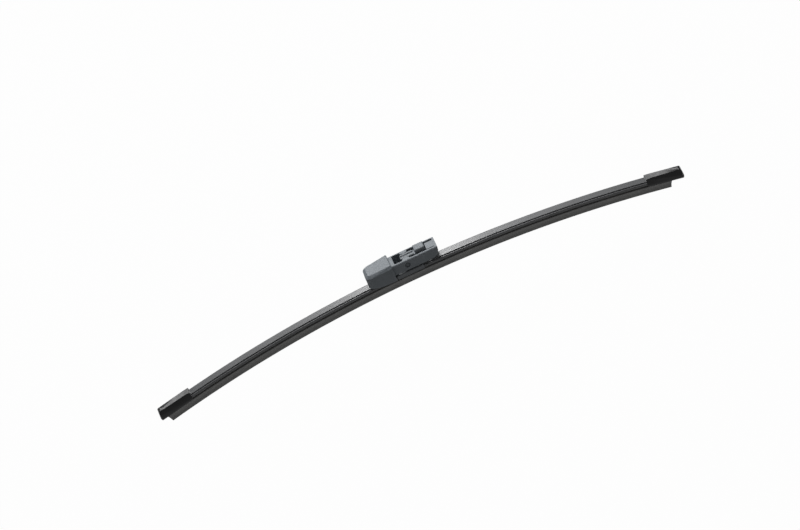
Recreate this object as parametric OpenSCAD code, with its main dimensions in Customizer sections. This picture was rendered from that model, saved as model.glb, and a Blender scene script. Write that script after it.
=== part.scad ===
// Flat rear wiper blade with a slide-on arm adapter.
// The blade is bowed in the XZ plane, +Z points away from the glass, and the origin is the pivot axis.
// Sections of the blade are drawn as [y, z] with z measured up from the wiping edge.

/* [Blade] */
// Length from cap to cap, measured straight
blade_l = 382.2; // [340:1:430]
// Radius of the bow at the spring rails
bow_r = 815; // [700:5:1000]
// Clearance between the pieces of the blade
fit = 0.05; // [0.03:0.01:0.08]

/* [Wiping rubber] */
// Thickness of the wiping lip
lip_t = 0.7; // [0.5:0.05:1]
// Height of the lip's parallel part
lip_h = 1.4; // [1:0.1:2]
// Height of the wedge from the lip to the shoulder
wedge_h = 4.6; // [4:0.1:5.6]
// Width across the shoulders
shoulder_w = 4.4; // [3.6:0.1:5]
// Height of the shoulder's upright edge
shoulder_h = 0.5; // [0.3:0.1:0.9]
// Height of the slope from the shoulder to the neck
slope_h = 0.6; // [0.4:0.1:1]
// Width of the tilting neck
neck_w = 1.2; // [0.9:0.1:1.6]
// Height of the tilting neck
neck_h = 1.3; // [1:0.1:1.8]
// Width of the flange under the rails
flange_w = 4.8; // [4:0.1:5.4]
// Thickness of the flange under the rails
flange_h = 1; // [0.8:0.1:1.3]
// Width of the web between the rails
web_w = 1.5; // [1.2:0.1:2]
// Width of the crown over the rails
crown_w = 4; // [3.4:0.1:4.6]
// Thickness of the crown over the rails
crown_h = 0.8; // [0.6:0.05:1]
// Slant of the rubber's cut ends
end_slant = 2; // [0:1:20]
// Distance from the left cap's end to the lip
lip_back_left = 4.4; // [4.2:0.1:12]
// Distance from the right cap's end to the lip
lip_back_right = 8.5; // [4.2:0.1:12]

/* [Spring rails] */
// Width of one rail
rail_w = 2.7; // [2.4:0.1:3.2]
// Thickness of one rail
rail_t = 0.9; // [0.7:0.05:1.1]
// Distance from the cap's end to the end of a rail
rail_back = 5; // [4:0.1:7]
// Distance that the rubber's head runs on past the rails
head_over = 2.1; // [0.5:0.1:2.2]
// Length of the retaining notch in a rail's outer edge
notch_l = 3; // [2:0.1:4]
// Depth of the retaining notch
notch_d = 0.8; // [0.5:0.1:1.1]
// Distance from a rail's end to its notch
notch_back = 4; // [3:0.1:6]

/* [Spoiler] */
// Thickness of the spoiler's wall outside a rail
claw_t = 0.4; // [0.3:0.05:0.6]
// Reach of a claw under the rail
claw_reach = 0.65; // [0.4:0.05:0.9]
// Thickness of a claw under the rail
claw_h = 0.6; // [0.4:0.05:0.8]
// Height of the crest over the rails
crest_h = 2.15; // [2:0.05:2.6]
// Place of the crest behind the middle of the blade
crest_y = 1; // [0.6:0.1:1.2]
// Height of the ramp's front edge over the rails
foot_h = 1.25; // [1.1:0.05:1.5]
// Distance from the spoiler's front to the ramp's front edge
foot_in = 1; // [0.7:0.1:1.2]
// Distance that the ramp's front edge overhangs the flange
foot_over = 0.35; // [0.2:0.05:0.45]
// Hollowness of the ramp, where 1 is flat
ramp_power = 1.15; // [1:0.05:1.5]
// Thickness of the flange over a rail
flange_t = 0.4; // [0.3:0.05:0.5]
// Rounding of the flange's outer edges
flange_r = 0.35; // [0.2:0.05:0.35]
// Chamfer under a claw
claw_c = 0.3; // [0.1:0.05:0.35]
// Distance from the cap's end to the end of a spoiler
spoiler_back = 11; // [9:0.5:14]

/* [End caps] */
// Length of a cap
cap_l = 26.2; // [22:0.2:32]
// Thickness of a cap's side wall at the claws
cap_wall = 0.75; // [0.6:0.05:1.2]
// Thickness of a cap's floor under the claws
cap_floor = 0.7; // [0.5:0.05:1]
// Height of a cap's top over the spoiler's crest
cap_rise = 2; // [1.4:0.05:2.4]
// Lean of the front side of a cap
cap_lean = 18.5; // [10:0.5:20]
// Distance from the middle of the blade back to the edge where a cap's top turns down
cap_ridge = 1.3; // [0.8:0.1:1.6]
// Rounding of that edge
cap_ridge_r = 1.1; // [0.6:0.1:1.4]
// Depth of the rear shoulder under a cap's top
cap_shoulder = 3.3; // [2.8:0.1:3.6]
// Distance of that shoulder from the cap's rear side
cap_shoulder_in = 0.5; // [0.3:0.1:0.8]
// Rounding of a cap's front upper edge
cap_brow_r = 0.4; // [0.2:0.1:0.8]
// Taper of each side of a cap below the claws
cap_tuck = 0.35; // [0.2:0.05:0.6]
// Radius of a cap's upper outer edge
cap_edge_r = 2.5; // [1.5:0.1:3]
// Radius of a cap's lower outer edge
cap_toe_r = 1.3; // [0.6:0.1:1.6]
// Radius of a cap's outer corners seen from above
cap_corner_r = 2.2; // [1.5:0.1:2.4]
// Lean of a cap's end face
cap_end_lean = 17; // [8:1:18]
// Lean of a cap's open end
cap_mouth_lean = 7; // [0:1:10]
// Length of a cap's top that slopes down to its open end
cap_slope_l = 3.2; // [2:0.1:5]
// Drop of that slope
cap_slope_h = 0.6; // [0.3:0.05:0.8]
// Drop of a cap's top from its outer end to that slope
cap_drop = 0.4; // [0.2:0.05:0.6]
// Clearance between a cap and what it holds
cap_fit = 0.12; // [0.08:0.01:0.2]

/* [Carrier] */
// Length of the carrier along the blade
carrier_l = 19; // [16:0.5:19.4]
// Width of the carrier's bar
carrier_w = 12; // [11:0.1:13]
// Thickness of the bar from the rails' cover to its top
bar_t = 2.1; // [1.6:0.1:2.8]
// Thickness of the cover between a rail and the bar
cover_t = 0.7; // [0.5:0.1:0.9]
// Thickness of a carrier claw outside a rail
grip_t = 1; // [0.7:0.1:1.3]
// Length of the plinth that carries the pivot block
plinth_l = 13; // [10:0.5:13.6]
// Height of the plinth over the bar
plinth_h = 1.7; // [1:0.1:2]
// Gap between the plinth and each of the adapter's walls
plinth_gap = 0.6; // [0.4:0.1:0.8]
// Rounding of the plinth's upper ends
plinth_r = 0.5; // [0.3:0.1:0.8]
// Chamfer along the bar's upper edges
bar_c = 0.3; // [0.1:0.1:0.5]
// Width of the pivot block
block_w = 4.5; // [3.6:0.1:4.6]
// Spread of the pivot block's foot on each side
block_foot = 1.2; // [0.6:0.1:1.6]
// Wall round the bore of the pivot block
block_wall = 0.65; // [0.5:0.05:0.7]
// Height of the pivot above the bar
pivot_rise = 5; // [4.6:0.1:5.6]

/* [Pivot pin] */
// Diameter of the pin
pin_d = 3; // [2.4:0.1:3]
// Clearance round the pin in the carrier's bore
pin_gap = 0.05; // [0.02:0.01:0.1]
// Clearance round the pin in the adapter's walls
pin_seat = 0.01; // [0.01:0.01:0.02]
// Depth of the shallow recess round each pin end
ring_h = 0.5; // [0.3:0.1:0.8]
// Width of the recess outside the pin
ring_w = 0.45; // [0.3:0.05:0.7]
// Chamfer of the pin's ends
pin_c = 0.3; // [0.2:0.05:0.4]

/* [Adapter body] */
// Width of the body, which the arm's channel takes
body_w = 12; // [11.6:0.1:13]
// Height of the body
body_h = 7.8; // [7.8:0.1:9]
// Gap between the carrier's bar and the body
rock_gap = 1.2; // [1.1:0.05:1.5]
// Distance from the pivot to the face that stops the arm
stop_x = 10.4; // [10.4:0.1:12]
// Distance from the pivot to the free end of the body
body_reach = 22.6; // [22:0.1:26]
// Rounding of the body's top edges
body_edge_r = 1.2; // [0.6:0.1:1.4]
// Radius of the body's upright end corners
body_corner_r = 1.6; // [0.8:0.1:2.2]
// Radius of the body's lower end corner
body_heel_r = 6; // [4:0.1:6.4]
// Thickness of the side walls
side_t = 1.5; // [1.3:0.1:1.7]
// Thickness of the end wall behind the stop face
back_t = 2.5; // [2:0.1:2.8]
// Thickness of the end wall at the free end
end_t = 1.4; // [1:0.1:2]
// Rounding of the corners inside the body
inner_r = 0.8; // [0.4:0.1:1.2]
// Depth of the recessed floor under the body's top
floor_d = 0.5; // [0.4:0.1:1]
// Gap between the recessed floor and each side wall
floor_gap = 1.2; // [0.8:0.1:1.4]
// Thickness of the recessed floor
floor_t = 1.5; // [1:0.1:2]
// Length of the bearing bosses along the body
boss_l = 5.2; // [4.6:0.1:5.6]
// Rounding of the bosses' corners seen from above
boss_r = 1.6; // [0.4:0.1:1.7]
// Wall under the pin in the bosses
boss_wall = 1.3; // [0.9:0.1:1.8]
// Distance from the pivot to the middle of a bearing boss
boss_x = 0.5; // [0.3:0.1:0.6]
// Distance between the bearing bosses
boss_gap = 5; // [4.8:0.1:5.4]

/* [Adapter nose] */
// Thickness of the arm's channel, which the nose continues
arm_t = 2; // [1.6:0.1:2.4]
// Length of the nose
nose_l = 19.2; // [16:0.1:22]
// Bevel along the nose's top edges
nose_bevel = 1.75; // [1.2:0.05:2.2]
// Drop of the nose's top towards its tip
nose_drop = 1.3; // [0.6:0.1:1.8]
// Narrowing of each side of the nose towards its tip
nose_taper = 0.9; // [0.5:0.1:1.3]
// Radius of the tip's corners
tip_r = 3.4; // [2.6:0.1:3.6]
// Distance that the tip leans back from the skirt to its top
tip_lean = 0.8; // [0.3:0.1:1.2]
// Height of the tip's lower corners above the skirt's lower edge
tip_cut = 2.6; // [2.2:0.1:3.6]
// Rounding where the skirt's lower edge turns up to the tip
tip_sweep_r = 8; // [4:0.5:10]
// Height of the arch in the tip, through which the blade passes
arch_h = 4.6; // [4.5:0.1:5.2]
// Width of that arch
arch_w = 9.4; // [9.2:0.1:10]
// Rounding of the arch's upper corners
arch_r = 1.5; // [0.8:0.1:2]
// Bevel round the nose's edge that meets the arm
nose_lip = 0.5; // [0.3:0.1:0.8]
// Depth of the skirt below the body
skirt_h = 3; // [2:0.1:3.4]
// Length of the skirt that runs at full depth
skirt_l = 10.8; // [8:0.1:11.4]
// Thickness of the nose's walls
nose_wall = 1.6; // [1.2:0.1:1.9]

/* [Lock button] */
// Length of the button's head
head_l = 7.3; // [6.6:0.1:7.6]
// Width of the button's head
head_w = 6.4; // [5.6:0.1:7]
// Height of the head over the body's top
head_rise = 2.5; // [2:0.1:2.6]
// Depth of the head under the body's top
head_skirt = 2.8; // [2.4:0.1:3.4]
// Rounding of the head's edges
head_r = 0.8; // [0.5:0.1:1.2]
// Gap between the head and the recessed floor's edge
head_gap = 0.5; // [0.4:0.05:0.8]
// Distance from the pivot to the head
head_x = 7.7; // [7.7:0.1:8.2]
// Width of the tongue
tongue_w = 4.5; // [4:0.1:4.7]
// Thickness of the tongue
tongue_t = 0.8; // [0.6:0.05:0.9]
// Length of the tongue behind its hinge
tail_l = 2.5; // [1.5:0.1:3]
// Width of each rib on the tongue
rib_w = 1.3; // [0.8:0.1:1.6]
// Depth of the ribs' tops under the body's top
rib_low = 0.1; // [0.1:0.05:0.4]
// Rounding of the ribs' upper ends
rib_r = 0.8; // [0.3:0.1:0.9]
// Gap between the ribs and the head
rib_gap = 1; // [0.6:0.1:1.6]
// Diameter of the tongue's hinge bar
hinge_d = 1.2; // [1:0.05:1.2]
// Clearance round the hinge bar in its bosses
hinge_gap = 0.05; // [0.03:0.01:0.08]
// Depth of the hinge bar under the body's top
hinge_depth = 0.95; // [0.9:0.01:1]
// Distance from the pivot back to the hinge bar
hinge_x = 0.3; // [0:0.1:0.5]
// Length of a hinge bar's end inside its boss
hinge_in = 0.9; // [0.6:0.1:1.2]

/* [Hidden] */
$fn = 48;
eps = 0.01;
far = 60;
bow_fn = 900;

// Levels of the section, up from the wiping edge
shoulder_z = lip_h + wedge_h;
neck_z = shoulder_z + shoulder_h + slope_h;
flange_z = neck_z + neck_h;
rail_z = flange_z + flange_h + fit;
rail_top = rail_z + rail_t;
crown_z = rail_top + fit;
crown_top = crown_z + crown_h;
rail_mid = rail_z + rail_t / 2;
crest_z = rail_top + crest_h;
foot_z = rail_top + foot_h;
spoiler_flange_z = crown_z + flange_t;
claw_z = rail_z - fit - claw_h;
bar_z = rail_top + cover_t;
bar_top = bar_z + bar_t;
pivot_h = bar_top + pivot_rise;

// Half widths of the section
rail_in = web_w / 2 + fit;
rail_out = rail_in + rail_w;
claw_in = rail_out + fit;
spoiler_half = claw_in + claw_t;
claw_tip = rail_out - claw_reach;
foot_y = foot_in - spoiler_half;

// Places along the blade
half_l = blade_l / 2;
cap_half = spoiler_half + cap_fit + cap_wall;
cap_z = claw_z - cap_fit - cap_floor;
cap_top = crest_z + cap_rise;
cap_a = asin((half_l - cap_l / 2) / bow_r);
cap_mid = half_l - cap_l / 2 * cos(cap_a) + (rail_mid - cap_z) * sin(cap_a);
rail_end = half_l - rail_back;
spoiler_end = half_l - spoiler_back;
rubber_end = rail_end + head_over;
spoiler_start = carrier_l / 2 + 0.2;
bow_z = rail_mid - bow_r - pivot_h;

// Levels of the adapter, from the pivot
body_z = rock_gap - pivot_rise;
body_top = body_z + body_h;
floor_z = body_top - floor_d;
floor_x = head_x + head_l + head_gap;
inner_half = body_w / 2 - side_t;
inner_x0 = back_t - stop_x;
inner_x1 = body_reach - end_t;
skirt_z = body_z - skirt_h;
nose_half = body_w / 2 + arm_t;
nose_top = body_top + arm_t;
nose_rear = -stop_x - nose_wall;
tip_x = -stop_x - nose_l;
floor_half = inner_half - floor_gap;
hinge_z = body_top - hinge_depth;

function unit(v) = v / norm(v);
function turn(a) = a > 180 ? a - 360 : a < -180 ? a + 360 : a;

// Points of the arc of radius r that rounds the corner b between its neighbours a and c
function round_corner(a, b, c, r, steps = 5) =
    let (
        u = unit(a - b),
        w = unit(c - b),
        half = acos(u * w) / 2,
        centre = b + unit(u + w) * r / sin(half),
        from = b + u * r / tan(half) - centre,
        to = b + w * r / tan(half) - centre,
        start = atan2(from[1], from[0]),
        sweep = turn(atan2(to[1], to[0]) - start)
    )
    [for (i = [0 : steps]) centre + r * [cos(start + sweep * i / steps), sin(start + sweep * i / steps)]];

// Outline through corners given as [across, up, radius], each rounded to its own radius
function outline(c) =
    [for (i = [0 : len(c) - 1])
        let (
            n = len(c),
            a = c[(i + n - 1) % n],
            b = c[i],
            d = c[(i + 1) % n]
        )
        each b[2] > 0
            ? round_corner([a[0], a[1]], [b[0], b[1]], [d[0], d[1]], b[2])
            : [[b[0], b[1]]]];

// A half outline and its mirror image, joined
function both_sides(half) =
    concat(half, [for (i = [len(half) - 1 : -1 : 0]) [-half[i][0], half[i][1]]]);

// Carries a section along the bow, between two places measured along X
module along(x0, x1) {
    a0 = acos(x1 / bow_r);
    a1 = acos(x0 / bow_r);
    translate([0, 0, bow_z])
        rotate([90, 0, 0])
            rotate([0, 0, a0])
                rotate_extrude(angle = a1 - a0, $fn = bow_fn)
                    translate([bow_r - rail_mid, 0])
                        rotate(-90)
                            children();
}

// Frame on the bow at x, with +X outwards along the blade and z up from the wiping edge
module on_bow(x) {
    translate([0, 0, bow_z])
        rotate([0, asin(x / bow_r), 0])
            translate([0, 0, bow_r - rail_mid])
                children();
}

// Prism of an outline in the XZ plane, of width w across the blade
module side_prism(points, w) {
    rotate([90, 0, 0])
        linear_extrude(w, center = true)
            polygon(points);
}

// Prism of an outline in the XY plane, from z0 up to z1
module plan_prism(points, z0, z1) {
    translate([0, 0, z0])
        linear_extrude(z1 - z0)
            polygon(points);
}

// Prism of an outline in the YZ plane, from x0 to x1
module section_prism(points, x0, x1) {
    translate([x0, 0, 0])
        rotate([90, 0, 90])
            linear_extrude(x1 - x0)
                polygon(points);
}

// Cylinder along Y, centred on the middle plane
module cross_rod(d, l) {
    rotate([90, 0, 0])
        cylinder(d = d, h = l, center = true);
}

// Flank of the wedge: it leaves the lip upright and flares to the shoulder
flank_steps = 6;
flank_power = 1.7;
function flank() =
    [for (i = [0 : flank_steps])
        let (t = i / flank_steps)
        [lip_t / 2 + (shoulder_w - lip_t) / 2 * pow(t, flank_power), lip_h + wedge_h * t]];

module rubber_section() {
    polygon(both_sides(concat(
        [[lip_t / 2, 0]],
        flank(),
        [
            [shoulder_w / 2, shoulder_z + shoulder_h],
            [neck_w / 2, neck_z],
            [neck_w / 2, flange_z],
            [flange_w / 2, flange_z],
            [flange_w / 2, flange_z + flange_h],
            [web_w / 2, flange_z + flange_h],
            [web_w / 2, crown_z],
            [crown_w / 2, crown_z],
            [crown_w / 2, crown_top]
        ]
    )));
}

// Slanted cut through the rubber, which removes all that lies farther out
module rubber_cut(lip_x) {
    on_bow(lip_x)
        rotate([0, end_slant, 0])
            translate([0, -far / 2, -far / 2])
                cube([far, far, far]);
}

module wiping_rubber() {
    color("#2b2d2f")
        difference() {
            along(-rubber_end, rubber_end)
                rubber_section();
            rubber_cut(half_l - lip_back_right);
            mirror([1, 0, 0])
                rubber_cut(half_l - lip_back_left);
        }
}

// Rail on one side: side -1 is the front, +1 the rear
module spring_rail(side) {
    notch_x = rail_end - notch_back;
    color("#7d8286")
        difference() {
            along(-rail_end, rail_end)
                translate([side > 0 ? rail_in : -rail_out, rail_z])
                    square([rail_w, rail_t]);
            for (end = [-1, 1])
                on_bow(end * notch_x)
                    translate([-notch_l / 2, side > 0 ? rail_out - notch_d : -rail_out - notch_d, rail_z - 1])
                        cube([notch_l, 2 * notch_d, rail_t + 2]);
        }
}

module spring_rail_front() {
    spring_rail(-1);
}

module spring_rail_rear() {
    spring_rail(1);
}

// Ramp of the spoiler, slightly hollow, from its overhanging front edge up to the crest
ramp_steps = 6;
function ramp() =
    [for (i = [0 : ramp_steps])
        let (t = i / ramp_steps)
        [foot_y + (crest_y - foot_y) * t, foot_z + (crest_z - foot_z) * pow(t, ramp_power)]];

// Back of the spoiler, a quarter of an ellipse drawn inwards, from the crest down to the rear flange
back_steps = 5;
back_y = spoiler_half - foot_in * 0.7;
function back(grown = 0) =
    [for (i = [1 : back_steps])
        let (t = 90 * i / back_steps)
        [
            back_y + grown - (back_y - crest_y) * pow(cos(t), 1.2),
            spoiler_flange_z + grown + (crest_z - spoiler_flange_z) * pow(1 - sin(t), 0.8)
        ]];

// Outer side of the spoiler from a flange's top round to the claw under the rail, for one side
function claw(side) =
    [
        [side * (spoiler_half - flange_r), spoiler_flange_z],
        [side * (spoiler_half - flange_r * 0.3), spoiler_flange_z - flange_r * 0.3],
        [side * spoiler_half, spoiler_flange_z - flange_r],
        [side * spoiler_half, claw_z + claw_c],
        [side * (spoiler_half - claw_c), claw_z],
        [side * claw_tip, claw_z],
        [side * claw_tip, claw_z + claw_h],
        [side * claw_in, claw_z + claw_h],
        [side * claw_in, crown_z],
        [side * (crown_w / 2 + fit), crown_z],
        [side * (crown_w / 2 + fit), crown_top + fit]
    ];

function reversed(v) = [for (i = [len(v) - 1 : -1 : 0]) v[i]];

module spoiler_section() {
    polygon(concat(
        ramp(),
        back(),
        claw(1),
        reversed(claw(-1)),
        [[foot_y + foot_over, spoiler_flange_z]]
    ));
}

module spoiler_left() {
    color("#4a4d50")
        along(-spoiler_end, -spoiler_start)
            spoiler_section();
}

module spoiler_right() {
    color("#4a4d50")
        along(spoiler_start, spoiler_end)
            spoiler_section();
}

// Outer form of a cap, on the bow at the cap's middle, with its closed end towards +X
module cap_form() {
    lean_z = claw_z + claw_h;
    end_x = cap_l / 2;
    end_in = tan(cap_end_lean) * (cap_top - cap_z);
    mouth_out = tan(cap_mouth_lean) * (cap_top - cap_z) / 2;
    slope_z = cap_top - cap_drop;
    foot = cap_half - cap_tuck;
    intersection() {
        section_prism(outline([
            [-foot, cap_z, 0.2],
            [-cap_half, lean_z, 0.4],
            [-cap_half + tan(cap_lean) * (cap_top - lean_z), cap_top, cap_brow_r],
            [cap_ridge, cap_top, cap_ridge_r],
            [cap_half - cap_shoulder_in, cap_top - cap_shoulder, 1.2],
            [cap_half, lean_z, 0.4],
            [foot, cap_z, 0.2]
        ]), -cap_l, cap_l);
        side_prism(outline([
            [mouth_out - end_x, cap_z, 0],
            [end_x, cap_z, cap_toe_r],
            [end_x - end_in, cap_top, cap_edge_r],
            [cap_slope_l - end_x, slope_z, 2],
            [-mouth_out - end_x, slope_z - cap_slope_h, 0.3]
        ]), far);
        translate([end_x, 0, cap_z])
            rotate([0, -cap_end_lean, 0])
                plan_prism(outline([
                    [-2 * cap_l, -cap_half, 0],
                    [-2 * cap_l, cap_half, 0],
                    [eps, cap_half, cap_corner_r],
                    [eps, -cap_half, cap_corner_r]
                ]), -cap_l, cap_l);
    }
}

// Room in a cap for the spoiler, the rails and the rubber's head
module cap_room() {
    wide = spoiler_half + cap_fit;
    open_x = cap_mid - cap_l;
    along(open_x, spoiler_end + 0.3)
        polygon(concat(
            [
                [-wide, claw_z - cap_fit],
                [-wide, spoiler_flange_z - flange_r + cap_fit],
                [flange_r - wide, spoiler_flange_z + cap_fit],
                [foot_y - cap_fit, foot_z + cap_fit],
                [crest_y + cap_fit, crest_z + cap_fit]
            ],
            back(cap_fit),
            [
                [wide - flange_r, spoiler_flange_z + cap_fit],
                [wide, spoiler_flange_z - flange_r + cap_fit],
                [wide, claw_z - cap_fit]
            ]
        ));
    along(open_x, rail_end + 1)
        translate([-rail_out - cap_fit, rail_z - cap_fit])
            square([2 * (rail_out + cap_fit), rail_t + 2 * cap_fit]);
    along(open_x, rubber_end + cap_fit)
        translate([-flange_w / 2 - cap_fit, 0])
            square([flange_w + 2 * cap_fit, crown_top + cap_fit]);
}

module end_cap() {
    color("#1c1e20")
        difference() {
            on_bow(cap_mid)
                cap_form();
            cap_room();
        }
}

module end_cap_right() {
    end_cap();
}

module end_cap_left() {
    mirror([1, 0, 0])
        end_cap();
}

// Section of the carrier's base: a bar with claws that wrap both rails
module carrier_section() {
    grip = claw_in + grip_t;
    polygon(both_sides([
        [crown_w / 2 + fit, crown_top + fit],
        [crown_w / 2 + fit, crown_z],
        [claw_in, crown_z],
        [claw_in, claw_z + claw_h],
        [claw_tip, claw_z + claw_h],
        [claw_tip, claw_z],
        [grip - claw_c, claw_z],
        [grip, claw_z + claw_c],
        [grip, bar_z],
        [carrier_w / 2, bar_z],
        [carrier_w / 2, bar_top - bar_c],
        [carrier_w / 2 - bar_c, bar_top]
    ]));
}

module carrier() {
    block_r = pin_d / 2 + pin_gap + block_wall;
    plinth_z = plinth_h - pivot_rise;
    color("#54585b")
        difference() {
            union() {
                along(-carrier_l / 2, carrier_l / 2)
                    carrier_section();
                side_prism(outline([
                    [-plinth_l / 2, -pivot_rise - bar_t / 2, 0],
                    [plinth_l / 2, -pivot_rise - bar_t / 2, 0],
                    [plinth_l / 2 - plinth_r, plinth_z, plinth_r],
                    [plinth_r - plinth_l / 2, plinth_z, plinth_r]
                ]), 2 * (inner_half - plinth_gap));
                side_prism([
                    [-block_r - block_foot, plinth_z - eps],
                    [block_r + block_foot, plinth_z - eps],
                    [block_r, 0],
                    [-block_r, 0]
                ], block_w);
                cross_rod(2 * block_r, block_w);
            }
            cross_rod(pin_d + 2 * pin_gap, far);
        }
}

module pivot_pin() {
    pin_l = body_w - 2 * ring_h;
    color("#8a8f93")
        rotate([90, 0, 0])
            rotate_extrude()
                polygon([
                    [0, -pin_l / 2],
                    [pin_d / 2 - pin_c, -pin_l / 2],
                    [pin_d / 2, pin_c - pin_l / 2],
                    [pin_d / 2, pin_l / 2 - pin_c],
                    [pin_d / 2 - pin_c, pin_l / 2],
                    [0, pin_l / 2]
                ]);
}

// Outer form of the body that the arm's channel slides over
module body_form() {
    intersection() {
        section_prism(outline([
            [-body_w / 2, skirt_z, 0],
            [body_w / 2, skirt_z, 0],
            [body_w / 2, body_top, body_edge_r],
            [-body_w / 2, body_top, body_edge_r]
        ]), nose_rear, body_reach);
        side_prism(outline([
            [nose_rear, body_z, 0],
            [body_reach, body_z, body_heel_r],
            [body_reach, body_top, 0.4],
            [nose_rear, body_top, 0]
        ]), far);
        plan_prism(outline([
            [nose_rear, -body_w / 2, 0],
            [nose_rear, body_w / 2, 0],
            [body_reach, body_w / 2, body_corner_r],
            [body_reach, -body_w / 2, body_corner_r]
        ]), skirt_z, body_top + 1);
    }
}

// Room inside the body, with the window in its top
module body_room() {
    plan_prism(outline([
        [inner_x0, -inner_half, inner_r],
        [inner_x1, -inner_half, inner_r],
        [inner_x1, inner_half, inner_r],
        [inner_x0, inner_half, inner_r]
    ]), skirt_z - 1, body_top + 1);
}

// Floor of the shallow recess at the free end, held by the end wall and free along its sides
module body_floor() {
    translate([floor_x, -floor_half, floor_z - floor_t])
        cube([inner_x1 - floor_x + eps, 2 * floor_half, floor_t]);
}

// Bosses inside the side walls, which bear the pivot pin and the tongue's hinge bar
module bearing_bosses() {
    boss_z = -pin_d / 2 - boss_wall;
    for (side = [-1, 1])
        plan_prism(outline([
            [boss_x - boss_l / 2, side * (inner_half + eps), 0],
            [boss_x - boss_l / 2, side * boss_gap / 2, boss_r],
            [boss_x + boss_l / 2, side * boss_gap / 2, boss_r],
            [boss_x + boss_l / 2, side * (inner_half + eps), 0]
        ]), boss_z, body_top);
}

// Section of the nose where it meets the arm, drawn in by a margin
function nose_section(margin) =
    let (
        half = nose_half - margin,
        top = nose_top - margin,
        bevel = nose_bevel - margin / 2
    )
    [
        [-half, skirt_z],
        [half, skirt_z],
        [half, top - bevel],
        [half - bevel, top],
        [bevel - half, top],
        [-half, top - bevel]
    ];

// Outer form of the nose, which carries on the arm's outline and narrows to a rounded tip
module nose_form() {
    tip_half = nose_half - nose_taper;
    tip_top = nose_top - nose_drop;
    side_top = tip_top - nose_bevel;
    skin = 0.1;
    hull() {
        section_prism(nose_section(0), -stop_x - nose_lip - skin, -stop_x - nose_lip);
        section_prism(nose_section(nose_lip), -stop_x - skin, -stop_x);
        for (side = [-1, 1])
            translate([tip_x + tip_r, side * (tip_half - tip_r), 0]) {
                translate([0, 0, skirt_z])
                    cylinder(r = tip_r, h = skin, $fn = 32);
                translate([tip_lean, 0, side_top])
                    cylinder(r = tip_r, h = skin, $fn = 32);
                translate([tip_lean, 0, tip_top - skin])
                    cylinder(r = tip_r - nose_bevel, h = skin, $fn = 32);
            }
    }
}

// Side view of the nose: the lower edge of its skirt sweeps up to the tip
module nose_side() {
    side_prism(outline([
        [-stop_x, skirt_z, 0],
        [-stop_x - skirt_l, skirt_z, tip_sweep_r],
        [tip_x - 1, skirt_z + tip_cut, 0],
        [tip_x - 1, nose_top + 1, 0],
        [-stop_x, nose_top + 1, 0]
    ]), far);
}

// Arch in the tip, which leaves the blade room to rock
module nose_arch() {
    section_prism(outline([
        [-arch_w / 2, skirt_z - 1, 0],
        [arch_w / 2, skirt_z - 1, 0],
        [arch_w / 2, skirt_z + arch_h, arch_r],
        [-arch_w / 2, skirt_z + arch_h, arch_r]
    ]), tip_x - 1, tip_x + nose_wall + 1);
}

// Hollow under the nose, through which the blade passes, and its core in the end of the body
module nose_room() {
    room_half = nose_half - nose_wall;
    roof_z = nose_top - nose_wall;
    intersection() {
        side_prism([
            [tip_x + nose_wall, skirt_z - 1],
            [-stop_x + eps, skirt_z - 1],
            [-stop_x + eps, body_z],
            [nose_rear, body_z],
            [nose_rear, roof_z],
            [tip_x + nose_wall, roof_z - nose_drop]
        ], far);
        plan_prism(outline([
            [1 - stop_x, -room_half, 0],
            [1 - stop_x, room_half, 0],
            [tip_x + nose_wall, room_half - nose_taper, tip_r - nose_wall],
            [tip_x + nose_wall, nose_taper - room_half, tip_r - nose_wall]
        ]), skirt_z - 1, nose_top);
    }
    translate([nose_rear - 1, -inner_half, body_z - 1])
        cube([nose_wall + 1, 2 * inner_half, floor_z - body_z + 1]);
}

module adapter() {
    color("#868d92")
        difference() {
            union() {
                difference() {
                    union() {
                        intersection() {
                            nose_form();
                            nose_side();
                        }
                        body_form();
                    }
                    nose_room();
                    nose_arch();
                    body_room();
                }
                body_floor();
                bearing_bosses();
            }
            cross_rod(pin_d + 2 * pin_seat, far);
            for (side = [-1, 1])
                translate([0, side * body_w / 2, 0])
                    cross_rod(pin_d + 2 * ring_w, 2 * ring_h);
            translate([-hinge_x, 0, hinge_z])
                cross_rod(hinge_d + 2 * hinge_gap, boss_gap + 2 * (hinge_in + 0.1));
        }
}

// Head of the lock button, with rounded edges that snap into the arm's window
module button_head() {
    x0 = head_x;
    x1 = head_x + head_l;
    z0 = body_top - head_skirt;
    z1 = body_top + head_rise;
    intersection() {
        side_prism(outline([
            [x0, z0, 0],
            [x1, z0, 0],
            [x1, z1, head_r],
            [x0, z1, head_r]
        ]), head_w);
        plan_prism(outline([
            [x0, -head_w / 2, head_r],
            [x1, -head_w / 2, head_r],
            [x1, head_w / 2, head_r],
            [x0, head_w / 2, head_r]
        ]), z0, z1);
        section_prism(outline([
            [-head_w / 2, z0, 0],
            [head_w / 2, z0, 0],
            [head_w / 2, z1, head_r],
            [-head_w / 2, z1, head_r]
        ]), x0, x1);
    }
}

// Tongue that carries the head, with two ribs and its hinge bar
module button_tongue() {
    tail_x = -hinge_x - tail_l;
    web_z = hinge_z - hinge_d / 2 + 0.05;
    rib_top = body_top - rib_low;
    translate([tail_x, -tongue_w / 2, web_z])
        cube([head_x + 1 - tail_x, tongue_w, tongue_t]);
    for (side = [-1, 1])
        side_prism_at(outline([
            [tail_x, web_z, 0],
            [head_x - rib_gap, web_z, 0],
            [head_x - rib_gap, rib_top, rib_r],
            [tail_x, rib_top, rib_r]
        ]), rib_w, side * (tongue_w - rib_w) / 2);
    translate([-hinge_x, 0, hinge_z])
        cross_rod(hinge_d, boss_gap + 2 * hinge_in);
}

// Side prism moved across the blade to y
module side_prism_at(points, w, y) {
    translate([0, y, 0])
        side_prism(points, w);
}

module lock_button() {
    color("#8b9297") {
        button_head();
        button_tongue();
    }
}

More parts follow.
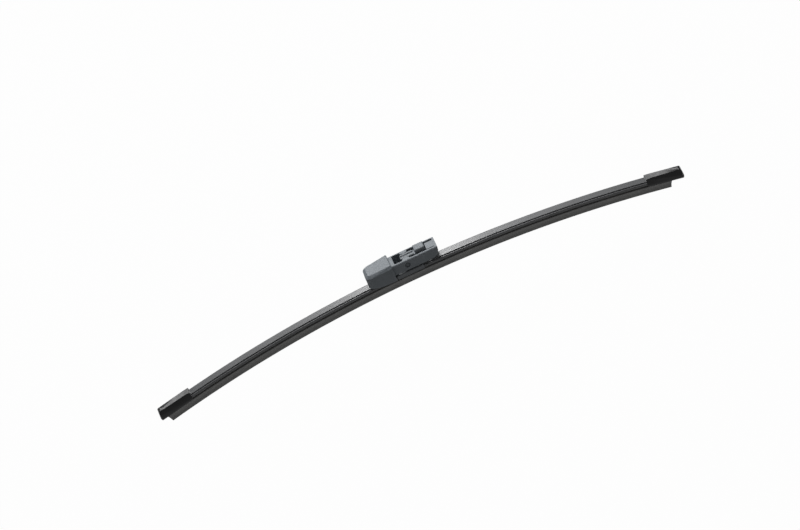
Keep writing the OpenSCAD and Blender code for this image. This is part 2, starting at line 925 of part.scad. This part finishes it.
wiping_rubber();
spring_rail_front();
spring_rail_rear();
spoiler_left();
spoiler_right();
end_cap_left();
end_cap_right();
carrier();
pivot_pin();
adapter();
lock_button();
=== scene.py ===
import math

import bmesh
import bpy
import numpy as np
from mathutils import Matrix, Vector


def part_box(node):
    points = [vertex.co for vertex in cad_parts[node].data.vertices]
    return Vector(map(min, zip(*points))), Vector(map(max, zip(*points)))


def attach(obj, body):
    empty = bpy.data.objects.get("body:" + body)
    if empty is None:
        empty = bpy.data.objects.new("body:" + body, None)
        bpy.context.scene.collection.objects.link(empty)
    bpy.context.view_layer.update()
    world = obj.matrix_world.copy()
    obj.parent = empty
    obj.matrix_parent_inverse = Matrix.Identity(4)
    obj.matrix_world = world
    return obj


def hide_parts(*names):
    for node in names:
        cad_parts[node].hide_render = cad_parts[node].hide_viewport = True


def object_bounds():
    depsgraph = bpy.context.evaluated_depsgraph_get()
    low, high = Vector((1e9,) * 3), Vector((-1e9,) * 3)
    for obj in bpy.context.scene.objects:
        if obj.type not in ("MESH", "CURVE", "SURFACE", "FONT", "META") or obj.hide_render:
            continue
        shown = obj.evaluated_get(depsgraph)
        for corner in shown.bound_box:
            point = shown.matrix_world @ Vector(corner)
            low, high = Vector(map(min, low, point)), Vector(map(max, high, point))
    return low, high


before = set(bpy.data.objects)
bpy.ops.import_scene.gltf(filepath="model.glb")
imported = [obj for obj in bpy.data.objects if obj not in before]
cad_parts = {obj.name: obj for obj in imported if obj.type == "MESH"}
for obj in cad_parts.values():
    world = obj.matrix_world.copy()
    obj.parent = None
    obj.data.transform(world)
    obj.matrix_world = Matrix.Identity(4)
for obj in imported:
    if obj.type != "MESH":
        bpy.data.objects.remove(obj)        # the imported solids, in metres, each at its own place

cadLow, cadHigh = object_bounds()
mm = 0.001
print("frame loaded,", len(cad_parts), "nodes")


# Colours and materials

noiseSpan = {"wide": (0.3, 0.7), "narrow": (0.35, 0.65)}      # where most values of a noise lie


def hexColour(code):
    # sRGB hex to linear RGBA
    parts = np.array([int(code[i:i + 2], 16) for i in (1, 3, 5)]) / 255.0
    linear = np.where(parts <= 0.04045, parts / 12.92, ((parts + 0.055) / 1.055) ** 2.4)
    return (*[float(v) for v in linear], 1.0)


def addNode(tree, kind, links=None, **values):
    # a node with its settings, and its inputs linked or set by name or number
    node = tree.nodes.new(kind)
    for key, value in values.items():
        setattr(node, key, value)
    for name, value in (links or {}).items():
        socket = node.inputs[name]
        if isinstance(value, bpy.types.NodeSocket):
            tree.links.new(value, socket)
        else:
            socket.default_value = value
    return node


def newMaterial(name):
    mat = bpy.data.materials.new(name)
    mat.use_nodes = True
    mat.node_tree.nodes.clear()
    return mat, mat.node_tree


def finishMaterial(tree, shader):
    addNode(tree, "ShaderNodeOutputMaterial", {"Surface": shader.outputs[0]})


def objectPlace(tree):
    return addNode(tree, "ShaderNodeTexCoord").outputs["Object"]


def noiseAt(tree, where, scale, detail, roughness=0.5):
    noise = addNode(tree, "ShaderNodeTexNoise",
                    {"Vector": where, "Scale": scale, "Detail": detail, "Roughness": roughness})
    return noise.outputs["Fac"]


def clouded(tree, spec, detail=3.0):
    # soft clouds, spec["cloud"] mm across, between the dark and the light colour
    ramp = addNode(tree, "ShaderNodeValToRGB",
                   {"Fac": noiseAt(tree, objectPlace(tree), 1.0 / (spec["cloud"] * mm), detail)})
    for element, position, code in zip(ramp.color_ramp.elements, noiseSpan["wide"], (spec["dark"], spec["light"])):
        element.position = position
        element.color = hexColour(code)
    return ramp.outputs["Color"]


def roughFrom(tree, noise, span, rough):
    # the noise carried over from its span to the range of roughness
    change = addNode(tree, "ShaderNodeMapRange", {
        "Value": noise, "From Min": span[0], "From Max": span[1], "To Min": rough[0], "To Max": rough[1]})
    return change.outputs["Result"]


def plasticShader(tree, tint, noise, span, spec):
    # plastic or rubber: the noise varies the gloss and lifts the surface by up to spec["depth"] mm
    bump = addNode(tree, "ShaderNodeBump",
                   {"Height": noise, "Strength": spec["bump"], "Distance": spec["depth"] * mm})
    return addNode(tree, "ShaderNodeBsdfPrincipled", {
        "Base Color": tint, "Roughness": roughFrom(tree, noise, span, spec["rough"]),
        "Normal": bump.outputs["Normal"], "IOR": spec["ior"]})


def mouldedNylon(name, spec):
    # glass-filled nylon from a spark-eroded mould: an even fine grain that breaks the highlight up
    mat, tree = newMaterial(name)
    grain = noiseAt(tree, objectPlace(tree), 1.0 / (spec["grain"] * mm), 2.0, 0.6)
    finishMaterial(tree, plasticShader(tree, clouded(tree, spec, 4.0), grain, noiseSpan["wide"], spec))
    return mat


def extrudedRubber(name, spec):
    # rubber pulled through a die: fine lines run the whole length, with soft clouds of bloom between them
    mat, tree = newMaterial(name)
    along = addNode(tree, "ShaderNodeUVMap", uv_map="along")
    stretch = addNode(tree, "ShaderNodeMapping", {
        "Vector": along.outputs["UV"], "Scale": (1.0 / spec["run"], 1.0 / spec["line"], 1.0)})
    lines = noiseAt(tree, stretch.outputs["Vector"], 1.0 / mm, 3.0)
    finishMaterial(tree, plasticShader(tree, clouded(tree, spec), lines, noiseSpan["narrow"], spec))
    return mat


def glossyAbs(name, spec):
    # black ABS from a polished mould: a clear highlight with a very slight ripple
    mat, tree = newMaterial(name)
    ripple = noiseAt(tree, objectPlace(tree), 1.0 / (spec["ripple"] * mm), 1.0)
    finishMaterial(tree, plasticShader(tree, clouded(tree, spec), ripple, noiseSpan["wide"], spec))
    return mat


def linedSteel(name, spec):
    # bare steel: dull grey with the fine lines that the rolls or the lathe left
    mat, tree = newMaterial(name)
    stretch = addNode(tree, "ShaderNodeMapping", {"Vector": objectPlace(tree), "Scale": spec["stretch"]})
    lines = noiseAt(tree, stretch.outputs["Vector"], 1.0 / (spec["line"] * mm), 3.0)
    tint = addNode(tree, "ShaderNodeValToRGB", {"Fac": lines})
    for element, code in zip(tint.color_ramp.elements, (spec["dark"], spec["light"])):
        element.color = hexColour(code)
    shader = addNode(tree, "ShaderNodeBsdfPrincipled", {
        "Base Color": tint.outputs["Color"], "Metallic": 1.0,
        "Roughness": roughFrom(tree, lines, noiseSpan["narrow"], spec["rough"])})
    finishMaterial(tree, shader)
    return mat


# cloud, grain, line, run, ripple and depth in mm
adapterNylon = mouldedNylon("greyMouldedNylon", {
    "dark": "#798085", "light": "#83898f", "cloud": 9, "grain": 0.3, "depth": 0.12, "bump": 0.22,
    "rough": (0.42, 0.58), "ior": 1.53})
buttonNylon = mouldedNylon("lightMouldedNylon", {
    "dark": "#787e83", "light": "#83898e", "cloud": 6, "grain": 0.3, "depth": 0.12, "bump": 0.2,
    "rough": (0.42, 0.6), "ior": 1.53})
carrierNylon = mouldedNylon("darkMouldedNylon", {
    "dark": "#767a7d", "light": "#818588", "cloud": 7, "grain": 0.3, "depth": 0.12, "bump": 0.25,
    "rough": (0.45, 0.62), "ior": 1.53})
# the spoilers' colour is written lighter than their black rubber: painted sheen that stands in for the broad soft
# reflection of the light above, while the overhead lamp still gives the real glint at the middle
spoilerRubber = extrudedRubber("satinRubberPaintedSheen", {
    "dark": "#6a6b6c", "light": "#737476", "cloud": 14, "run": 90, "line": 0.3, "depth": 0.03, "bump": 0.04,
    "rough": (0.24, 0.3), "ior": 1.52})
# the wiping rubber's colour is written lighter than its black rubber: painted light that stands in for the light
# from the floor on its side, where little lamp light falls
lipRubber = extrudedRubber("coatedRubberPaintedFloorLight", {
    "dark": "#7e7e7d", "light": "#8a8a88", "cloud": 10, "run": 40, "line": 0.2, "depth": 0.03, "bump": 0.2,
    "rough": (0.4, 0.55), "ior": 1.5})
capAbs = glossyAbs("polishedBlackAbs", {
    "dark": "#161718", "light": "#1b1c1e", "cloud": 12, "ripple": 2.5, "depth": 0.05, "bump": 0.2,
    "rough": (0.17, 0.26), "ior": 1.54})
railSteel = linedSteel("rolledSpringSteel", {
    "dark": "#5c5f61", "light": "#7c7f82", "stretch": (0.04, 1, 1), "line": 0.15, "rough": (0.3, 0.45)})
pinSteel = linedSteel("turnedPinSteel", {
    "dark": "#4c5053", "light": "#666a6e", "stretch": (1, 0.1, 1), "line": 0.12, "rough": (0.3, 0.42)})
print("materials made")


# Helpers for meshes

def addMesh(name, verts, faces, material, body, replaced):
    mesh = bpy.data.meshes.new(name)
    mesh.from_pydata(verts, [], faces)
    piece = bpy.data.objects.new(name, mesh)
    bpy.context.scene.collection.objects.link(piece)
    mesh.materials.append(material)
    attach(piece, body)
    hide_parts(*replaced)
    return piece


def smoothByAngle(mesh, degrees):
    # smooth all over but for edges sharper than the angle
    mesh.polygons.foreach_set("use_smooth", np.ones(len(mesh.polygons), bool))
    mesh.set_sharp_from_angle(angle=math.radians(degrees))


def roundedOutline(corners, steps=5):
    # each corner (across, up, radius) becomes an arc that touches both of its sides
    pts = np.array([c[:2] for c in corners], float)
    radii = np.array([c[2] for c in corners], float)
    before, after = np.roll(pts, 1, 0) - pts, np.roll(pts, -1, 0) - pts
    before /= np.linalg.norm(before, axis=1)[:, None]
    after /= np.linalg.norm(after, axis=1)[:, None]
    half = np.arccos(np.clip((before * after).sum(1), -1, 1)) / 2
    middle = before + after
    middle /= np.maximum(np.linalg.norm(middle, axis=1), 1e-9)[:, None]
    centre = pts + middle * (radii / np.sin(half))[:, None]
    start = pts + before * (radii / np.tan(half))[:, None] - centre
    end = pts + after * (radii / np.tan(half))[:, None] - centre
    a0 = np.arctan2(start[:, 1], start[:, 0])
    sweep = (np.arctan2(end[:, 1], end[:, 0]) - a0 + math.pi) % (2 * math.pi) - math.pi
    angle = a0[:, None] + sweep[:, None] * np.linspace(0, 1, steps + 1)
    arcs = centre[:, None, :] + radii[:, None, None] * np.stack([np.cos(angle), np.sin(angle)], -1)
    return np.concatenate([arc if r > 0 else p[None] for arc, r, p in zip(arcs, radii, pts)])


# The bow of the blade: its rails lie on a circle whose middle is straight below the pivot

bow = {
    "radius": 815.0,       # at the middle of the rails' thickness
    "railMid": 9.9,        # height of that circle above the wiping edge
    "railThick": 0.9,
    "capCorner": 0.14,     # what the rounding of a cap's corner takes off its length
    "smooth": 32,          # degrees under which the swept sides shade as one surface
}
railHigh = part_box("spring_rail_front")[1][2] / mm
bowCentre = railHigh - bow["railThick"] / 2 - bow["radius"]
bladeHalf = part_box("end_cap_right")[1][0] / mm + bow["capCorner"]


def sweepAlongBow(profile, x0, x1, rings):
    # place(t, p) = centre + r (sin a, cos a), r = radius + height of p; a runs evenly from the angle of x0
    # to that of x1, which are measured along X and may differ from point to point of the profile
    across, height = profile[:, 0], profile[:, 1]
    r = bow["radius"] + height - bow["railMid"]
    a0, a1 = np.arcsin(x0 / bow["radius"]), np.arcsin(x1 / bow["radius"])
    a = a0 + (a1 - a0) * np.linspace(0, 1, rings)[:, None]
    x, z = r * np.sin(a), bowCentre + r * np.cos(a)
    verts = np.stack([x, np.broadcast_to(across, x.shape), z], -1).reshape(-1, 3) * mm
    n = len(profile)
    ring, point = np.meshgrid(np.arange(rings - 1), np.arange(n), indexing="ij")
    nxt = (point + 1) % n
    quads = np.stack([ring * n + point, ring * n + nxt, (ring + 1) * n + nxt, (ring + 1) * n + point], -1)
    faces = quads.reshape(-1, 4).tolist() + [list(range(n)), list(range((rings - 1) * n, rings * n))]
    # the map runs along the blade in u and round the profile in v, both in metres
    sides = np.linalg.norm(np.diff(profile, axis=0, append=profile[:1]), axis=1)
    girth = np.concatenate([[0], np.cumsum(sides)])
    uAt = np.broadcast_to(a * bow["radius"], x.shape).reshape(-1)
    return verts, faces, uAt * mm, girth * mm


def sweptPiece(name, profile, x0, x1, rings, material, replaced):
    verts, faces, uAt, girth = sweepAlongBow(profile, x0, x1, rings)
    piece = addMesh(name, verts.tolist(), faces, material, "blade", replaced)
    mesh = piece.data
    n = len(profile)
    loops = np.empty(len(mesh.loops), np.int32)
    mesh.loops.foreach_get("vertex_index", loops)
    v = girth[loops % n]
    sides = (rings - 1) * n * 4
    closing = np.zeros(len(loops), bool)      # the strip that closes the profile carries the map on
    closing[:sides] = (loops[:sides] % n == 0) & (np.tile([0, 1, 1, 0], sides // 4) == 1)
    uv = np.stack([uAt[loops], np.where(closing, girth[-1], v)], -1)
    mesh.uv_layers.new(name="along").data.foreach_set("uv", uv.astype(np.float32).ravel())
    work = bmesh.new()
    work.from_mesh(mesh)
    bmesh.ops.recalc_face_normals(work, faces=work.faces)
    work.to_mesh(mesh)
    work.free()
    smoothByAngle(mesh, bow["smooth"])
    return piece


def mirrored(half):
    # the same corners on the other side of the middle plane, in the opposite order
    return [(-across, height, radius) for across, height, radius in reversed(half)]


# Wiping rubber

rubber = {
    "lip": 0.35, "lipHeight": 1.4, "wedge": 4.6, "shoulder": 2.2, "shoulderEdge": 0.5, "slope": 0.6,
    "neck": 0.6, "neckHeight": 1.3, "flange": 2.4, "flangeThick": 1.0, "web": 0.75, "groove": 1.0,
    "crown": 2.0, "crownThick": 0.8, "flareSteps": 12, "flarePower": 1.7,
    "lipRound": 0.05, "shoulderRound": 0.15, "slopeRound": 0.2, "neckRound": 0.3, "rootRound": 0.25,
    "flangeRound": 0.12, "webRound": 0.08, "crownRound": 0.1, "topRound": 0.15,
    "slant": 2.0, "shortLeft": 4.4, "shortRight": 8.5, "shortHead": 2.9,    # back from each cap's end
    "rings": 140,
}


def rubberProfile(p):
    # flare: half width = lip + (shoulder - lip) t^power, while the height rises evenly
    t = np.linspace(0, 1, p["flareSteps"] + 1)
    flare = np.stack([
        p["lip"] + (p["shoulder"] - p["lip"]) * t ** p["flarePower"],
        p["lipHeight"] + p["wedge"] * t], -1)
    shoulder = p["lipHeight"] + p["wedge"]
    neck = shoulder + p["shoulderEdge"] + p["slope"]
    flange = neck + p["neckHeight"]
    under = flange + p["flangeThick"]
    crown = under + p["groove"]
    half = (
        [(p["lip"], 0.0, p["lipRound"])]
        + [(across, height, 0.0) for across, height in flare[:-1]]
        + [(p["shoulder"], shoulder, p["shoulderRound"]),
           (p["shoulder"], shoulder + p["shoulderEdge"], p["slopeRound"]),
           (p["neck"], neck, p["neckRound"]), (p["neck"], flange, p["rootRound"]),
           (p["flange"], flange, p["flangeRound"]), (p["flange"], under, p["flangeRound"]),
           (p["web"], under, p["webRound"]), (p["web"], crown, p["webRound"]),
           (p["crown"], crown, p["crownRound"]), (p["crown"], crown + p["crownThick"], p["topRound"])])
    return roundedOutline(half + mirrored(half))


rubberOutline = rubberProfile(rubber)


def rubberEnd(short):
    # the cut leans out with height, as far as the end of the rubber's head
    leaning = bladeHalf - short + math.tan(math.radians(rubber["slant"])) * rubberOutline[:, 1]
    return np.minimum(leaning, bladeHalf - rubber["shortHead"])


sweptPiece("wipingRubberDressed", rubberOutline, -rubberEnd(rubber["shortLeft"]), rubberEnd(rubber["shortRight"]),
           rubber["rings"], lipRubber, ["wiping_rubber"])
print("wiping rubber swept")


# Spoilers

spoiler = {
    "half": 3.95, "clawIn": 3.55, "clawTip": 2.85, "clawLow": 8.8, "clawThick": 0.6, "clawChamfer": 0.3,
    "railTop": 10.35, "railGap": 0.05, "flange": 0.45,      # flange over a rail
    "foot": 1.25, "footIn": 1.0, "footOver": 0.35,
    "crest": 2.15, "crestAcross": 1.0, "rampPower": 1.15, "backIn": 0.7, "backPower": (1.2, 0.8),
    "crown": 2.05, "crownTop": 0.9,
    "beadRound": 0.65, "footRound": 0.09, "edgeRound": 0.1, "clawTipRound": 0.12, "innerRound": 0.06,
    "start": 9.7, "short": 11.0,                            # from the pivot, and back from each cap's end
    "steps": 14, "rings": 90,
}


def spoilerProfile(p):
    # ramp: height = foot + rise t^power
    # back: across = in - depth cos(t)^a, height = flange + rise (1 - sin t)^b
    top, foot, flange = (p["railTop"] + p[k] for k in ("crest", "foot", "flange"))
    t = np.linspace(0, 1, p["steps"] + 1)
    footAcross = p["footIn"] - p["half"]
    ramp = np.stack([
        footAcross + (p["crestAcross"] - footAcross) * t, foot + (top - foot) * t ** p["rampPower"]], -1)
    backAcross = p["half"] - p["backIn"]
    turn = t[1:] * math.pi / 2
    back = np.stack([
        backAcross - (backAcross - p["crestAcross"]) * np.maximum(np.cos(turn), 0) ** p["backPower"][0],
        flange + (top - flange) * (1 - np.sin(turn)) ** p["backPower"][1]], -1)
    clawHigh = p["clawLow"] + p["clawThick"]
    over, crownTop = p["railTop"] + p["railGap"], p["railTop"] + p["crownTop"]
    edge, inner = p["edgeRound"], p["innerRound"]
    claw = [(p["half"], flange, p["beadRound"]), (p["half"], p["clawLow"] + p["clawChamfer"], edge),
            (p["half"] - p["clawChamfer"], p["clawLow"], edge), (p["clawTip"], p["clawLow"], p["clawTipRound"]),
            (p["clawTip"], clawHigh, edge), (p["clawIn"], clawHigh, inner), (p["clawIn"], over, inner),
            (p["crown"], over, inner), (p["crown"], crownTop, edge)]
    corners = (
        [(*ramp[0], p["footRound"])] + [(*q, 0.0) for q in ramp[1:]] + [(*q, 0.0) for q in back]
        + claw + mirrored(claw) + [(footAcross + p["footOver"], flange, edge)])
    return roundedOutline(corners)


spoilerOutline = spoilerProfile(spoiler)
spoilerEnd = bladeHalf - spoiler["short"]
for name, node, x0, x1 in (("spoilerLeftDressed", "spoiler_left", -spoilerEnd, -spoiler["start"]),
                           ("spoilerRightDressed", "spoiler_right", spoiler["start"], spoilerEnd)):
    sweptPiece(name, spoilerOutline, x0, x1, spoiler["rings"], spoilerRubber, [node])
print("spoilers swept")


# Mouldings: each is a copy of its solid with its edges rounded as the mould leaves them

moulding = {
    "merge": 0.002,        # mm within which vertices of the solid are joined
    "flat": 0.6,           # degrees under which neighbouring faces become one
    "sharp": 24.0,         # degrees over which an edge is rounded
    "smooth": 30.0,        # degrees under which faces shade as one surface
    "segments": 3,
}


def roundedMoulding(node, name, material, body, edge):
    work = bmesh.new()
    work.from_mesh(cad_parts[node].data)
    bmesh.ops.remove_doubles(work, verts=work.verts, dist=moulding["merge"] * mm)
    bmesh.ops.dissolve_limit(work, angle_limit=math.radians(moulding["flat"]), verts=work.verts, edges=work.edges)
    work.verts.ensure_lookup_table()
    work.verts.index_update()
    verts = [v.co[:] for v in work.verts]
    faces = [[v.index for v in f.verts] for f in work.faces]
    work.free()
    piece = addMesh(name, verts, faces, material, body, [node])
    smoothByAngle(piece.data, moulding["smooth"])
    bevel = piece.modifiers.new("mouldEdge", "BEVEL")
    bevel.width = edge * mm
    bevel.segments = moulding["segments"]
    bevel.limit_method = "ANGLE"
    bevel.angle_limit = math.radians(moulding["sharp"])
    bevel.use_clamp_overlap = True
    bevel.harden_normals = True


for node, name, material, body, slot, edge in (
        ("adapter", "adapterDressed", adapterNylon, "adapter", "adapter_plastic", 0.22),
        ("lock_button", "lockButtonDressed", buttonNylon, "button", "button_plastic", 0.15),
        ("carrier", "carrierDressed", carrierNylon, "blade", "carrier_plastic", 0.15),
        ("end_cap_left", "endCapLeftDressed", capAbs, "blade", "cap_plastic", 0.25),
        ("end_cap_right", "endCapRightDressed", capAbs, "blade", "cap_plastic", 0.25)):
    roundedMoulding(node, name, material, body, edge)
print("mouldings rounded")

for node, material in (("spring_rail_front", railSteel), ("spring_rail_rear", railSteel), ("pivot_pin", pinSteel)):
    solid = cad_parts[node]
    solid.data.materials.clear()
    solid.data.materials.append(material)
print("rails and pin keep their solids")


# Camera: the blade seen from its front and above, and turned so that it climbs to the right

camera = {
    "elevation": 38.0, "roll": 25.0, "lens": 250.0, "sensor": 36.0,
    "scale": 0.6585,                          # mm per pixel at the pivot
    "width": 800, "height": 530,
    "pivotAt": (405.5, 260.0),                # the pixel where the pivot shows
    "clip": (0.1, 100),                       # metres
}


def aimCamera(p):
    elevation, roll = math.radians(p["elevation"]), math.radians(p["roll"])
    flatUp = Vector((0, math.sin(elevation), math.cos(elevation)))
    back = Vector((0, -math.cos(elevation), math.sin(elevation)))
    right = math.cos(roll) * Vector((1, 0, 0)) - math.sin(roll) * flatUp
    up = math.sin(roll) * Vector((1, 0, 0)) + math.cos(roll) * flatUp
    pixel = p["scale"] * mm
    aside = (p["pivotAt"][0] - p["width"] / 2) * pixel
    above = (p["height"] / 2 - p["pivotAt"][1]) * pixel
    target = -aside * right - above * up
    distance = p["width"] * pixel * p["lens"] / p["sensor"]
    camData = bpy.data.cameras.new("camera")
    camData.lens, camData.sensor_width = p["lens"], p["sensor"]
    camData.clip_start, camData.clip_end = p["clip"]
    cam = bpy.data.objects.new("camera", camData)
    bpy.context.scene.collection.objects.link(cam)
    turned = Matrix((right, up, back)).transposed().to_4x4()
    cam.matrix_world = Matrix.Translation(target + back * distance) @ turned
    bpy.context.scene.camera = cam


aimCamera(camera)
print("camera aimed")


# Floor, world and lamps

studio = {
    "floorDrop": 21.0,           # mm under the lowest point at rest, to leave room for the blade as it rocks
    "floorSize": 30.0,           # metres
    "floorColour": "#a0a0a0",    # what the lamps light
    "whiteShare": 0.98,          # plain white that the camera sees over it
    "glossShare": 0.15,          # and what reflections see
    "world": 0.092,
}
lamps = [                        # in metres and watts, all aimed at the pivot
    # the glint along the spoilers, the fill on all tops, and the shine on the caps' tops
    {"name": "overhead", "place": (0.012, 0.55, 1.1), "size": (0.28, 0.7), "power": 7.4},
    {"name": "soft", "place": (0.0, 0.25, 1.35), "size": (1.2, 1.2), "power": 5.5},
    {"name": "rear", "place": (0.0, 1.35, 0.85), "size": (2.3, 0.4), "power": 10},
]


def whiteFloor(tree, lit):
    # plain white over the lit floor, for the camera and, more thinly, for mirrors and glass
    path = addNode(tree, "ShaderNodeLightPath")
    mirror = addNode(tree, "ShaderNodeMath",
                     {0: path.outputs["Is Glossy Ray"], 1: path.outputs["Is Transmission Ray"]}, operation="MAXIMUM")
    thin = addNode(tree, "ShaderNodeMath", {0: mirror.outputs[0], 1: studio["glossShare"]}, operation="MULTIPLY")
    full = addNode(tree, "ShaderNodeMath", {0: path.outputs["Is Camera Ray"], 1: studio["whiteShare"]},
                   operation="MULTIPLY")
    fac = addNode(tree, "ShaderNodeMath", {0: thin.outputs[0], 1: full.outputs[0]}, operation="MAXIMUM")
    glow = addNode(tree, "ShaderNodeEmission", {"Color": hexColour("#ffffff"), "Strength": 1.0})
    return addNode(tree, "ShaderNodeMixShader", {0: fac.outputs[0], 1: lit, 2: glow.outputs[0]})


def buildFloor():
    size = studio["floorSize"] / 2
    z = cadLow.z - studio["floorDrop"] * mm
    mesh = bpy.data.meshes.new("floor")
    mesh.from_pydata([(-size, -size, z), (size, -size, z), (size, size, z), (-size, size, z)], [], [(0, 1, 2, 3)])
    floor = bpy.data.objects.new("floor", mesh)
    bpy.context.scene.collection.objects.link(floor)
    mat, tree = newMaterial("paleFloor")
    lit = addNode(tree, "ShaderNodeBsdfDiffuse", {"Color": hexColour(studio["floorColour"])})
    finishMaterial(tree, whiteFloor(tree, lit.outputs[0]))
    mesh.materials.append(mat)


def buildWorld():
    world = bpy.data.worlds.new("studio")
    bpy.context.scene.world = world
    world.use_nodes = True
    tree = world.node_tree
    tree.nodes.clear()
    path = addNode(tree, "ShaderNodeLightPath")
    ambient, white = (addNode(tree, "ShaderNodeBackground", {"Color": hexColour("#ffffff"), "Strength": strength})
                      for strength in (studio["world"], 1.0))
    mix = addNode(tree, "ShaderNodeMixShader",
                  {0: path.outputs["Is Camera Ray"], 1: ambient.outputs[0], 2: white.outputs[0]})
    addNode(tree, "ShaderNodeOutputWorld", {"Surface": mix.outputs[0]})


def areaLamp(name, place, size, power):
    lamp = bpy.data.lights.new(name, "AREA")
    lamp.shape = "RECTANGLE"
    lamp.size, lamp.size_y = size
    lamp.energy = power
    holder = bpy.data.objects.new(name, lamp)
    bpy.context.scene.collection.objects.link(holder)
    holder.location = place
    holder.rotation_mode = "QUATERNION"
    holder.rotation_quaternion = (-Vector(place)).to_track_quat("-Z", "Y")


buildFloor()
buildWorld()
for lamp in lamps:
    areaLamp(**lamp)
print("studio set")

scene = bpy.context.scene
scene.view_settings.view_transform = "Standard"
